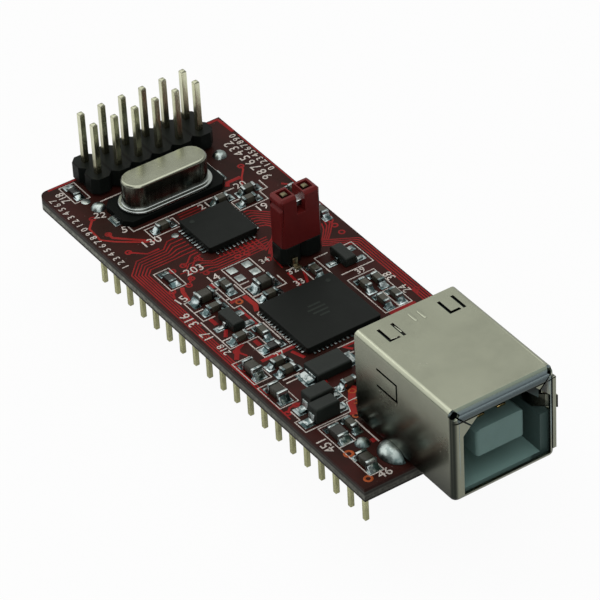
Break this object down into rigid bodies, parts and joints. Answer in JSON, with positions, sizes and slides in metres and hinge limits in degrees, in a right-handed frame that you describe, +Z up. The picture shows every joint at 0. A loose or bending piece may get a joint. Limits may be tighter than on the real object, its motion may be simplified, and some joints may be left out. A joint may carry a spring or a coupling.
{
  "type": "usb adapter module",
  "caption": "Slim circuit module with in-line pins underneath, an upright pin header and a crystal at one end, flat chips, a pull-off jumper and an overhanging USB socket.",
  "frame": {"origin": "centre of the module's box on the plane of the pin tips, under the circuit board", "axes": "+X along the board towards the USB socket, +Y across the board from the pin row with the diodes to the other row, +Z up"},
  "size_m": [0.0678, 0.0228, 0.0209],
  "materials": {
    "board_laminate": "dark lacquered glass-fibre laminate",
    "strip_plastic": "moulded black plastic",
    "gilt_pins": "thin pale gold plating",
    "gilt_posts": "thin pale gold plating",
    "header_plastic": "moulded black plastic",
    "solder": "bright solder",
    "can_metal": "satin drawn metal",
    "seat_plastic": "moulded black plastic",
    "chip_moulding": "dark moulding compound",
    "tinned_metal": "tin plated",
    "shunt_plastic": "dark red plastic",
    "shell_steel": "satin plated sheet",
    "socket_plastic": "grey-green plastic",
    "ceramic": "brown fired ceramic",
    "chip_part_dark": "dark glazed ceramic"
  },
  "bodies": {
    "board": {"chip_part_solder": "solder", "circuit_board": "board_laminate", "corner_pin_solder": "solder", "crystal_can": "can_metal", "crystal_leads": "tinned_metal", "crystal_seat": "seat_plastic", "dip_pins_far": "gilt_pins", "dip_pins_near": "gilt_pins", "dip_strip_far": "strip_plastic", "dip_strip_near": "strip_plastic", "ferrite_bead": "chip_part_dark", "ferrite_bead_ends": "tinned_metal", "guard_diode": "chip_moulding", "guard_diode_legs": "tinned_metal", "header_housing": "header_plastic", "header_posts_back": "gilt_posts", "header_posts_front": "gilt_posts", "header_tail_solder": "solder", "jumper_base": "header_plastic", "jumper_posts": "gilt_posts", "large_capacitor_bodies": "ceramic", "large_capacitor_ends": "tinned_metal", "microcontroller": "chip_moulding", "microcontroller_leads": "tinned_metal", "power_diode": "chip_moulding", "power_diode_legs": "tinned_metal", "resistor_bodies": "chip_part_dark", "resistor_ends": "tinned_metal", "shell_tab_solder": "solder", "signal_diode": "chip_moulding", "signal_diode_legs": "tinned_metal", "small_capacitor_bodies": "ceramic", "small_capacitor_ends": "tinned_metal", "socket_underside_solder": "solder", "transistor_far": "chip_moulding", "transistor_far_legs": "tinned_metal", "transistor_near": "chip_moulding", "transistor_near_legs": "tinned_metal", "usb_bridge_chip": "chip_moulding", "usb_bridge_chip_leads": "tinned_metal", "usb_contact_high_far": "gilt_posts", "usb_contact_high_near": "gilt_posts", "usb_contact_low_far": "gilt_posts", "usb_contact_low_near": "gilt_posts", "usb_insulator": "socket_plastic", "usb_shell": "shell_steel"},
    "shunt": {"jumper_shunt": "shunt_plastic", "shunt_clip": "gilt_posts"}
  },
  "joints": [
    {"name": "shunt_pull_off", "type": "slide", "parent": "board", "child": "shunt", "axis": [0, 0, 1], "range_m": [0, 0.008]}
  ]
}
